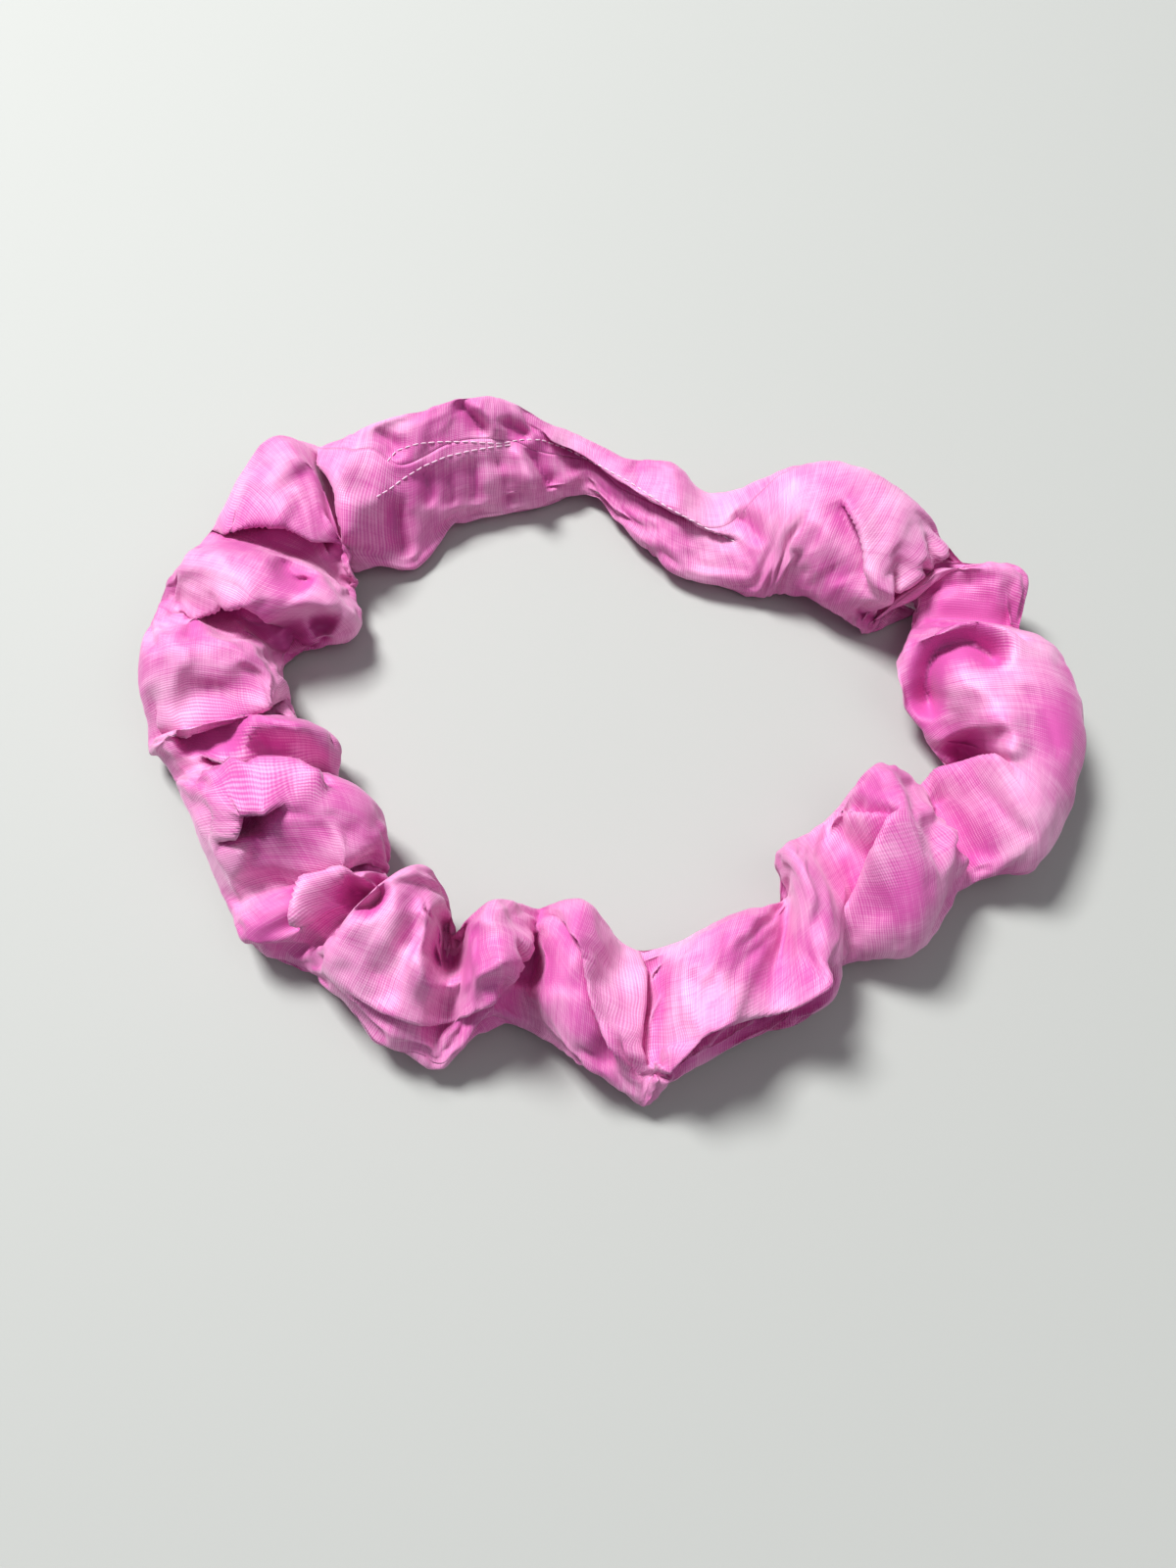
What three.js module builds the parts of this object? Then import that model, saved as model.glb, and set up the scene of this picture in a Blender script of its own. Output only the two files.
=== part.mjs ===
// A wide fabric hair band of the gathered kind: a cloth tube gathered over a hidden elastic loop,
// lying relaxed on its underside.
// Millimetres. +Z is up. The origin is the centre of the footprint, on the surface the band lies on.
// +Y is the back, where the tube was closed after the elastic went in, and -Y is the front.
// Every piece is drawn straight and then laid round the loop: "along" runs with the loop from the
// narrow waist at the back towards -X, "across" points out of the ring and "up" is +Z.
import * as THREE from 'three';

// ---- Driving dimensions -------------------------------------------------------------------

// The loop's stations: centre x, centre y, band width across, band height.
const STATIONS = [
  [-7, 73, 19, 16],
  [-36, 67, 34, 24],
  [-62, 62, 36, 26],
  [-82, 48, 36, 26],
  [-88, 28, 34, 26],
  [-88, 6, 32, 25],
  [-78, -16, 34, 25],
  [-66, -37, 38, 26],
  [-47, -54, 40, 25],
  [-27, -62, 34, 22],
  [-8, -63, 32, 22],
  [10, -65, 38, 24],
  [29, -56, 38, 25],
  [47, -43, 38, 26],
  [67, -31, 36, 26],
  [83, -15, 36, 27],
  [87, 5, 36, 27],
  [80, 26, 34, 25],
  [63, 42, 32, 24],
  [43, 52, 32, 24],
  [18, 58, 25, 20],
];

const ARC_COUNT = 12; // lengths of casing, each between two gathers
const ARC_STEPS = 6; // straight steps in each length of casing
const GATHER_GAP = 1.2; // clearance between two lengths of casing, measured along the loop
const SECTION_POINTS = 18; // corners of the band's section
const SECTION_SKEW = 0.42; // height of the section's widest level, as a share of its height
const SECTION_SINK = 1.25; // how far the lower half would bulge below the surface before it is flattened

const CHANNEL_WIDTH = 13.2; // the way through the gathered cloth, where the elastic runs
const CHANNEL_HEIGHT = 11.6;
const CHANNEL_MIDDLE = 7.4; // height of the channel's middle above the surface

const ELASTIC_WIDTH = 7; // width of the flat elastic, which stands on edge
const ELASTIC_THICKNESS = 1.2;
const ELASTIC_STEPS = 32; // straight steps in each half of the elastic
const LAP_LENGTH = 18; // length of the elastic's overlapped end
const LAP_START = 8; // distance from the waist to the lap

const PIECE_GAP = 0.3; // clearance between touching pieces
const ZIGZAG_THREAD = 0.5; // width of the zigzag's thread
const ZIGZAG_DEPTH = 0.4;
const ZIGZAG_TEETH = 5;
const ZIGZAG_LENGTH = 14;
const ZIGZAG_HEIGHT = 5;

const ALLOWANCE_WIDTH = 3; // width of the seam's raw edges, inside the tube
const ALLOWANCE_THICKNESS = 0.8;
const ALLOWANCE_INSET = 1.8; // distance from the channel's side to the raw edges
const SEAM_THREAD = 0.6; // thickness of the tube seam's thread
const SEAM_STEPS = 36;

const TOPSTITCH_THREAD = 0.8;
const TOPSTITCH_CLEARANCE = 0.9; // from the casing's outer face to the middle of the thread
const TOPSTITCH_ANGLE = THREE.MathUtils.degToRad(118); // place round the section, from straight out
const TOPSTITCH_START = -44; // where it starts and ends along the loop, from the waist
const TOPSTITCH_END = 52;
const TOPSTITCH_STEPS = 40;

const CROSS_SEAM_LENGTH = 8; // length of the folded ends inside the tube, at the waist
const CROSS_SEAM_THICKNESS = 0.8;
const CROSS_SEAM_GAP = 0.5;

// ---- Materials ----------------------------------------------------------------------------

const cloth = () => new THREE.MeshStandardMaterial({ color: 0xe08cb9, roughness: 0.45, metalness: 0 });
const thread = () => new THREE.MeshStandardMaterial({ color: 0xf2c9df, roughness: 0.6, metalness: 0 });
const rubberCore = () => new THREE.MeshStandardMaterial({ color: 0xece8e4, roughness: 0.8, metalness: 0 });

// ---- The loop -----------------------------------------------------------------------------

const closedCurve = (points) => new THREE.CatmullRomCurve3(points, true, 'centripetal');
const centreLine = closedCurve(STATIONS.map(([x, y]) => new THREE.Vector3(x, y, 0)));
const sectionLine = closedCurve(STATIONS.map(([, , width, height]) => new THREE.Vector3(width, height, 0)));
centreLine.arcLengthDivisions = 800;
const LOOP_LENGTH = centreLine.getLength();

// The share of the way round the loop at a distance from the waist.
function shareAt(along) {
  return THREE.MathUtils.euclideanModulo(along / LOOP_LENGTH, 1);
}

// The band's width and height at a distance from the waist.
function sectionAt(along) {
  const size = sectionLine.getPoint(centreLine.getUtoTmapping(shareAt(along)));
  return { halfWidth: size.x / 2, height: size.y };
}

// The place in the ring of a point given as along, across and up. The stations run anticlockwise
// seen from above, so out of the ring is to the right of the tangent.
function onLoop(along, across, up) {
  const share = shareAt(along);
  const centre = centreLine.getPointAt(share);
  const tangent = centreLine.getTangentAt(share);
  return new THREE.Vector3(centre.x + tangent.y * across, centre.y - tangent.x * across, up);
}

// ---- Shapes -------------------------------------------------------------------------------

// A point of the band's section: angle 0 is straight out of the ring and a quarter turn is up.
// inset is the distance inside the outer face, and the underside is flattened on the surface.
function sectionPoint(along, angle, inset) {
  const { halfWidth, height } = sectionAt(along);
  const middle = height * SECTION_SKEW;
  const rise = Math.sin(angle);
  const reach = rise > 0 ? height - middle - inset : middle * SECTION_SINK - inset;
  return { across: (halfWidth - inset) * Math.cos(angle), up: Math.max(inset, middle + reach * rise) };
}

// A point of the channel through the band, at the same angle, and inset towards the elastic.
function channelPoint(angle, inset) {
  return {
    across: (CHANNEL_WIDTH / 2 - inset) * Math.cos(angle),
    up: CHANNEL_MIDDLE + (CHANNEL_HEIGHT / 2 - inset) * Math.sin(angle),
  };
}

// Moves every corner of straight geometry to its place in the ring. Along, across and up make a
// left-handed set, so each caller mirrors one of them to keep the faces pointing out.
function layRound(geometry, place) {
  const position = geometry.attributes.position;
  for (let i = 0; i < position.count; i += 1) {
    const at = place(position.getX(i), position.getY(i), position.getZ(i));
    position.setXYZ(i, at.x, at.y, at.z);
  }
  geometry.deleteAttribute('uv');
  geometry.computeVertexNormals();
  return geometry;
}

// A straight bar with its x from start to end, and its y and z centred on zero.
function bar(start, end, width, thickness, steps) {
  const geometry = new THREE.BoxGeometry(end - start, width, thickness, steps, 1, 1);
  return geometry.translate((start + end) / 2, 0, 0);
}

// A strip of constant section laid round the loop, with its middle where middleAt says.
function stripGeometry(start, end, width, thickness, steps, middleAt) {
  return layRound(bar(start, end, width, thickness, steps), (along, y, z) => {
    const middle = middleAt(along);
    return onLoop(along, middle.across - y, middle.up + z);
  });
}

// A plain pipe stands for the hollow section before it is laid: an outer radius, an inner radius
// of 1, and a radius between the two that tells them apart.
const OUTER_RADIUS = 2;
const BETWEEN_FACES = 1.5;

// A hollow length of the band between two distances, with open ends. Its outer and inner faces
// go through the points that the two functions give for a distance and an angle.
function sleeveGeometry(start, end, steps, outerPoint, innerPoint) {
  const ring = new THREE.Shape();
  const hole = new THREE.Path();
  for (let i = 0; i < SECTION_POINTS; i += 1) {
    const angle = (i / SECTION_POINTS) * Math.PI * 2;
    const draw = i === 0 ? 'moveTo' : 'lineTo';
    ring[draw](OUTER_RADIUS * Math.cos(angle), OUTER_RADIUS * Math.sin(angle));
    hole[draw](Math.cos(angle), Math.sin(angle));
  }
  ring.closePath();
  hole.closePath();
  ring.holes.push(hole);
  const geometry = new THREE.ExtrudeGeometry(ring, { depth: end - start, steps, bevelEnabled: false });
  return layRound(geometry, (x, y, depth) => {
    const along = start + depth;
    const facePoint = Math.hypot(x, y) > BETWEEN_FACES ? outerPoint : innerPoint;
    const point = facePoint(along, Math.atan2(y, -x));
    return onLoop(along, point.across, point.up);
  });
}

// ---- Pieces -------------------------------------------------------------------------------

const band = new THREE.Group();

function addPiece(name, geometry, material) {
  const piece = new THREE.Mesh(geometry, material);
  piece.name = name;
  band.add(piece);
}

// The gathered casing, in lengths that run from gather to gather.
function addCasing() {
  const arcLength = LOOP_LENGTH / ARC_COUNT;
  const outside = (along, angle) => sectionPoint(along, angle, 0);
  const channel = (along, angle) => channelPoint(angle, 0);
  for (let i = 0; i < ARC_COUNT; i += 1) {
    const start = i * arcLength + GATHER_GAP / 2;
    const end = (i + 1) * arcLength - GATHER_GAP / 2;
    const name = `casing_length_${String(i + 1).padStart(2, '0')}`;
    addPiece(name, sleeveGeometry(start, end, ARC_STEPS, outside, channel), cloth());
  }
}

// The loop parts where the pull on the band is shared between its front and its back.
const LEFT_PARTING = LOOP_LENGTH * 3 / ARC_COUNT;
const RIGHT_PARTING = LOOP_LENGTH * 9 / ARC_COUNT;
const PARTS = [
  ['back', RIGHT_PARTING - LOOP_LENGTH, LEFT_PARTING],
  ['front', LEFT_PARTING, RIGHT_PARTING],
];

// The flat elastic loop, on edge in the middle of the casing, as its back and front halves.
function addElastic() {
  const middle = () => ({ across: 0, up: CHANNEL_MIDDLE });
  for (const [part, start, end] of PARTS) {
    addPiece(
      `elastic_${part}`,
      stripGeometry(start + PIECE_GAP, end - PIECE_GAP, ELASTIC_THICKNESS, ELASTIC_WIDTH, ELASTIC_STEPS, middle),
      rubberCore(),
    );
  }
}

// The overlapped end of the elastic, on its inner face, and the zigzag that holds it.
function addLap() {
  const across = -(ELASTIC_THICKNESS + PIECE_GAP);
  addPiece(
    'elastic_lap',
    stripGeometry(LAP_START, LAP_START + LAP_LENGTH, ELASTIC_THICKNESS, ELASTIC_WIDTH, 6, () => ({
      across,
      up: CHANNEL_MIDDLE,
    })),
    rubberCore(),
  );
  const top = [];
  const bottom = [];
  for (let i = 0; i <= ZIGZAG_TEETH * 2; i += 1) {
    const along = (i / (ZIGZAG_TEETH * 2) - 0.5) * ZIGZAG_LENGTH;
    const up = (i % 2 ? 0.5 : -0.5) * ZIGZAG_HEIGHT;
    top.push(new THREE.Vector2(along, up + ZIGZAG_THREAD));
    bottom.unshift(new THREE.Vector2(along, up - ZIGZAG_THREAD));
  }
  const zigzag = new THREE.Shape([...top, ...bottom]);
  const geometry = new THREE.ExtrudeGeometry(zigzag, { depth: ZIGZAG_DEPTH, steps: 1, bevelEnabled: false });
  const face = across - ELASTIC_THICKNESS / 2 - PIECE_GAP;
  const centre = LAP_START + LAP_LENGTH / 2;
  addPiece(
    'elastic_zigzag',
    layRound(geometry, (x, y, depth) => onLoop(centre - x, face - depth, CHANNEL_MIDDLE + y)),
    thread(),
  );
}

// The long seam that makes the cloth a tube: its raw edges inside the tube, and its thread.
function addTubeSeam() {
  const across = (CHANNEL_WIDTH - ALLOWANCE_WIDTH) / 2 - ALLOWANCE_INSET;
  const lift = (ALLOWANCE_THICKNESS + SEAM_THREAD) / 2 + PIECE_GAP;
  const allowance = () => ({ across, up: CHANNEL_MIDDLE });
  const stitching = () => ({ across, up: CHANNEL_MIDDLE + lift });
  for (const [part, start, end] of PARTS) {
    const from = start + PIECE_GAP;
    const to = end - PIECE_GAP;
    addPiece(
      `seam_allowance_${part}`,
      stripGeometry(from, to, ALLOWANCE_WIDTH, ALLOWANCE_THICKNESS, SEAM_STEPS, allowance),
      cloth(),
    );
    addPiece(
      `seam_thread_${part}`,
      stripGeometry(from, to, SEAM_THREAD, SEAM_THREAD, SEAM_STEPS, stitching),
      thread(),
    );
  }
}

// The topstitching that closed the tube once the elastic was in, on the upper inner face.
function addTopstitch() {
  const middle = (along) => sectionPoint(along, TOPSTITCH_ANGLE, -TOPSTITCH_CLEARANCE);
  addPiece(
    'closing_topstitch',
    stripGeometry(TOPSTITCH_START, TOPSTITCH_END, TOPSTITCH_THREAD, TOPSTITCH_THREAD, TOPSTITCH_STEPS, middle),
    thread(),
  );
}

// The folded ends of the cloth strip, seamed together inside the tube next to the waist.
function addCrossSeam() {
  const outside = (along, angle) => channelPoint(angle, CROSS_SEAM_GAP);
  const inside = (along, angle) => channelPoint(angle, CROSS_SEAM_GAP + CROSS_SEAM_THICKNESS);
  addPiece('cross_seam', sleeveGeometry(-CROSS_SEAM_LENGTH / 2, CROSS_SEAM_LENGTH / 2, 3, outside, inside), cloth());
}

addCasing();
addElastic();
addLap();
addTubeSeam();
addTopstitch();
addCrossSeam();

// The origin goes to the centre of the footprint, and the underside stays on the surface.
const footprint = new THREE.Box3().setFromObject(band).getCenter(new THREE.Vector3());
band.position.set(-footprint.x, -footprint.y, 0);

export default band;
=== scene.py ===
"""A wide gathered fabric hair band, lying relaxed: its casing, its elastic, its sewing and its stage."""

import math

import bpy
import numpy as np
from bpy.props import (
    FloatProperty,
    FloatVectorProperty,
    IntProperty,
    PointerProperty,
)
from mathutils import Euler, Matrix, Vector, noise
from mathutils.bvhtree import BVHTree


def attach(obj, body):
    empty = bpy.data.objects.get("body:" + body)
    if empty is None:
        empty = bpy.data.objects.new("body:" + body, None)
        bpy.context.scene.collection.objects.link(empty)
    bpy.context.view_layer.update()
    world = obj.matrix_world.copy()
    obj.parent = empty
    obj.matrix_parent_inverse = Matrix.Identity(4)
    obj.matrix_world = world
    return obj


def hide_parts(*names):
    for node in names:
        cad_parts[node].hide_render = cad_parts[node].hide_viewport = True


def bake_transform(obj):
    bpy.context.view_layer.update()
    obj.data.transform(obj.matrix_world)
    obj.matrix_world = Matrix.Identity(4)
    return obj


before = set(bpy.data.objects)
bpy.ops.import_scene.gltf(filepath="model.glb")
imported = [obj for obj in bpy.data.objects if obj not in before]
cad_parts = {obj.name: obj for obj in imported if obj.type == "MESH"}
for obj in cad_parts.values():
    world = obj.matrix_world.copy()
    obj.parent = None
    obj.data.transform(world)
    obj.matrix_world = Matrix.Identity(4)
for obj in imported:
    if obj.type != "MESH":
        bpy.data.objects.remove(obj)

bl_info = {
    "name": "Gathered hair band",
    "version": (1, 0, 0),
    "blender": (4, 5, 0),
    "location": "3D View > Sidebar > Hair band",
    "description": "Builds a gathered fabric hair band with its elastic and sewing on a plain stage",
    "category": "Object",
}

MM = 0.001
TURN = 2 * math.pi
UP = Vector((0, 0, 1))
DOWN = Vector((0, 0, -1))
FROM_ABOVE = Vector((0, 0, 0.1))  # well above the band, where rays that look down start
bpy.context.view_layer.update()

LOWEST = 0.5  # millimetres that the cloth stays above the table
CASING_NODES = [f"casing_length_{number:02d}" for number in range(1, 13)]

# ---- Sizes and colours a user would change --------------------------------------------------


class BandSizes(bpy.types.PropertyGroup):
    """The cloth strip, and the cells and spare cloth of the casing."""

    strip_length: FloatProperty(
        name="Strip length",
        description="Length that the cloth strip is cut to before it is gathered",
        default=0.72,
        unit="LENGTH",
    )
    strip_width: FloatProperty(
        name="Strip width",
        description="Width that the cloth strip is cut to, with both seam allowances",
        default=0.1,
        unit="LENGTH",
    )
    columns: IntProperty(
        name="Columns",
        description="Cells along the casing before it is subdivided",
        default=240,
    )
    corners: IntProperty(
        name="Corners",
        description="Cells round the casing before it is subdivided",
        default=40,
    )
    growth: FloatProperty(
        name="Spare cloth",
        description="Share by which the cloth is larger than the plain folds need, so that it puckers",
        default=0.14,
        subtype="FACTOR",
    )


class BandColours(bpy.types.PropertyGroup):
    """The finishes' colours, as linear light."""

    pale: FloatVectorProperty(
        name="Pale pink",
        description="Colour of the cloth's floating threads",
        subtype="COLOR",
        default=(0.93, 0.48, 0.72),
    )
    # the deep pink is also the colour that the painted shade in the folds' hollows darkens the cloth
    # towards
    deep: FloatVectorProperty(
        name="Deep pink",
        description="Colour of the cloth's crossing threads",
        subtype="COLOR",
        default=(0.6, 0.085, 0.36),
    )
    floor: FloatVectorProperty(
        name="Floor",
        description="Colour of the floor",
        subtype="COLOR",
        default=(0.42, 0.43, 0.41),
    )


# ---- The band's outline ---------------------------------------------------------------------

# The casing seen from above, in millimetres, from the narrow waist at the back round by the left,
# the front and the right. Each station joins a point on the band's outer edge to one on its inner
# edge, and the crown is how far the cloth stands above the line between them. At a "gather" the
# cloth is drawn down to a crease, and a "fold" is the top of a bulge between two gathers.
STATIONS = [
    ("gather", (-8, 85, 12), (-6, 71, 4), 4, 88),
    ("fold", (-15, 84, 17), (-15, 66, 4), 4, 78),
    ("fold", (-24, 85, 23), (-23, 64, 3), 4, 72),
    ("fold", (-36, 83, 26), (-38, 62, 3), 4, 70),
    ("fold", (-49, 79, 25), (-49, 48, 3), 4, 72),
    ("fold", (-61, 76, 23), (-62, 47, 4), 5, 50),
    ("gather", (-72, 75, 16), (-64, 46, 5), 3, 10),
    ("fold", (-81, 74, 20), (-62, 41, 8), 9, -20),
    ("gather", (-99, 51, 12), (-62, 40, 6), 3, -40),
    ("fold", (-104, 37, 14), (-61, 26, 8), 12, -40),
    ("gather", (-108, 32, 10), (-75, 22, 5), 4, -40),
    ("fold", (-106, 10, 13), (-75, 11, 8), 12, -40),
    ("gather", (-106, -4, 7), (-71, 3, 4), 5, -40),
    ("fold", (-102, -9, 9), (-61, -5, 9), 10, -40),
    ("gather", (-98, -14, 6), (-60, -12, 5), 6, -35),
    ("fold", (-94, -21, 11), (-50, -21, 9), 14, -20),
    ("fold", (-89, -31, 9), (-47, -29, 10), 15, -15),
    ("gather", (-83, -43, 5), (-48, -34, 5), 6, -10),
    ("fold", (-77, -51, 6), (-47, -38, 9), 11, 0),
    ("gather", (-67, -56, 4), (-46, -42, 5), 6, 5),
    ("fold", (-57, -62, 7), (-39, -39, 18), 12, 10),
    ("fold", (-46, -73, 6), (-34, -43, 10), 10, 15),
    ("gather", (-36, -77, 6), (-33, -49, 5), 3, 20),
    ("fold", (-25, -69, 8), (-24, -44, 14), 11, 20),
    ("gather", (-17, -70, 5), (-16, -42, 6), 3, -10),
    ("fold", (-7, -76, 8), (-6, -44, 14), 10, -40),
    ("gather", (4, -84, 5), (5, -51, 5), 4, -50),
    ("fold", (14, -80, 8), (25, -45, 12), 11, -50),
    ("gather", (28, -72, 5), (37, -39, 5), 7, -50),
    ("fold", (42, -65, 8), (35, -33, 13), 12, -50),
    ("gather", (50, -54, 5), (46, -22, 6), 7, -50),
    ("fold", (62, -53, 9), (55, -15, 16), 12, -50),
    ("gather", (77, -38, 6), (69, -13, 5), 4, -50),
    ("fold", (90, -35, 12), (79, -11, 8), 13, -50),
    ("fold", (103, -14, 13), (74, -4, 6), 14, -50),
    ("fold", (102, 12, 14), (66, 15, 10), 13, -50),
    ("gather", (98, 24, 8), (71, 28, 6), 4, -50),
    ("fold", (98, 37, 13), (73, 36, 9), 7, -50),
    ("gather", (86, 47, 7), (63, 29, 3), 4, -50),
    ("fold", (74, 57, 14), (58, 30, 7), 12, -30),
    ("fold", (53, 68, 17), (43, 39, 6), 11, 20),
    ("gather", (27, 68, 8), (34, 39, 4), 5, 80),
    ("fold", (17, 73, 14), (17, 45, 5), 5, 92),
    ("fold", (5, 76, 13), (3, 62, 4), 5, 92),
]


def between(values, lengths, segment, share):
    """Points on smooth curves through the closed rows of values, at shares of the given segments."""
    following = np.roll(values, -1, axis=0)
    steps = (following - values) / lengths[:, None]
    before = np.roll(lengths, 1)[:, None]
    lengths_wide = lengths[:, None]
    slopes = (steps * before + np.roll(steps, 1, axis=0) * lengths_wide) / (before + lengths_wide)
    start, end = values[segment], following[segment]
    leaving = slopes[segment] * lengths[segment, None]
    arriving = np.roll(slopes, -1, axis=0)[segment] * lengths[segment, None]
    t = share[:, None]
    return (
        (2 * t**3 - 3 * t**2 + 1) * start
        + (t**3 - 2 * t**2 + t) * leaving
        + (3 * t**2 - 2 * t**3) * end
        + (t**3 - t**2) * arriving
    )


def unit(vectors):
    return vectors / np.maximum(np.linalg.norm(vectors, axis=-1, keepdims=True), 1e-9)


def casing_sections(columns):
    """Along the band: each section's middle, its half width towards the outer edge, its upward
    direction, its crown, how far its underside hangs, and the angle of its lengthwise seam."""
    kinds = [station[0] for station in STATIONS]
    outer = np.array([station[1] for station in STATIONS], float)
    inner = np.array([station[2] for station in STATIONS], float)
    crown = np.array([station[3] for station in STATIONS], float)
    seam = np.radians([station[4] for station in STATIONS])
    count = len(STATIONS)
    middle = (outer + inner) / 2
    spans = [np.linalg.norm(np.roll(line, -1, axis=0) - line, axis=1) for line in (outer, middle, inner)]
    rise = np.abs(np.roll(crown, -1) - crown)
    cloth = np.maximum.reduce(spans) + rise
    reach = np.concatenate([[0], np.cumsum(cloth)])
    place = np.arange(columns) / columns * reach[-1]
    segment = np.clip(np.searchsorted(reach, place, side="right") - 1, 0, count - 1)
    share = (place - reach[segment]) / cloth[segment]
    lengths = np.maximum(spans[1], 1.0)
    out_edge = between(outer, lengths, segment, share)
    in_edge = between(inner, lengths, segment, share)
    # The crown leaves a gather steeply and is round over a fold.
    following = (segment + 1) % count
    smooth = share * share * (3 - 2 * share)
    gathered = np.array([kind == "gather" for kind in kinds])
    leaving = gathered[segment] & ~gathered[following]
    arriving = ~gathered[segment] & gathered[following]
    quarter = share * TURN / 4
    eased = np.where(leaving, np.sin(quarter), np.where(arriving, 1 - np.cos(quarter), smooth))
    height = crown[segment] + (crown[following] - crown[segment]) * eased
    turned = seam[segment] + (seam[following] - seam[segment]) * smooth
    centre = (out_edge + in_edge) / 2
    half = (out_edge - in_edge) / 2
    side = unit(half)
    up = np.array([0.0, 0.0, 1.0])
    normal = unit(up - (side @ up)[:, None] * side)
    belly = np.maximum(centre[:, 2] - 0.4, 1.5)
    return centre, half, normal, height, belly, turned


def casing_grid(columns, corners):
    """The casing's corners in millimetres, as rows along the band and places round it from its seam."""
    centre, half, normal, height, belly, turned = casing_sections(columns)
    angle = turned[:, None] + np.arange(corners) / corners * TURN
    across = np.sign(np.cos(angle)) * np.abs(np.cos(angle)) ** 0.9
    lift = np.sin(angle)
    stand = np.where(lift > 0, height[:, None] * lift, belly[:, None] * lift)
    grid = centre[:, None] + half[:, None] * across[..., None] + normal[:, None] * stand[..., None]
    grid[..., 2] = np.maximum(grid[..., 2], LOWEST)
    return grid


def sheet_mesh(name, grid, closed):
    """A sheet of quads through a grid of points in millimetres. Its rows run round the band, and its
    places close on themselves too if closed. Its UV map is the flat cloth in millimetres."""
    columns, corners = grid.shape[:2]
    wide = corners if closed else corners - 1
    row, spot = np.meshgrid(np.arange(columns), np.arange(wide), indexing="ij")
    here = row * corners
    after = (row + 1) % columns * corners
    beside = (spot + 1) % corners
    faces = np.stack([here + spot, after + spot, after + beside, here + beside], axis=-1).reshape(-1, 4)
    mesh = bpy.data.meshes.new(name)
    mesh.from_pydata((grid.reshape(-1, 3) * MM).tolist(), [], faces.tolist())
    sizes = bpy.context.scene.band_sizes
    length = sizes.strip_length / MM / columns
    width = sizes.strip_width / MM / corners
    corner_row = np.stack([row, row + 1, row + 1, row], axis=-1).reshape(-1) * length
    corner_spot = np.stack([spot, spot, spot + 1, spot + 1], axis=-1).reshape(-1) * width
    uv = mesh.uv_layers.new(name="cloth")
    uv.data.foreach_set("uv", np.stack([corner_row, corner_spot], axis=-1).ravel())
    mesh.polygons.foreach_set("use_smooth", [True] * len(faces))
    mesh.update()
    return mesh


# ---- Folds that cross the bulges ------------------------------------------------------------

# The fold lines are drawn on the table in millimetres and laid on the cloth along straight sight
# lines from a point above the front of the band, so that a line also lies right on a steep side.
# A ridge stands up, a crease sinks in sharply and a hollow has steep walls. At a lip the cloth to the
# left of the line, seen along it, hangs over the cloth to its right. Each fold has a kind, a height, a
# width and its points.
SIGHT_POINT = np.array([-5.0, -129.0, 243.0])

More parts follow.
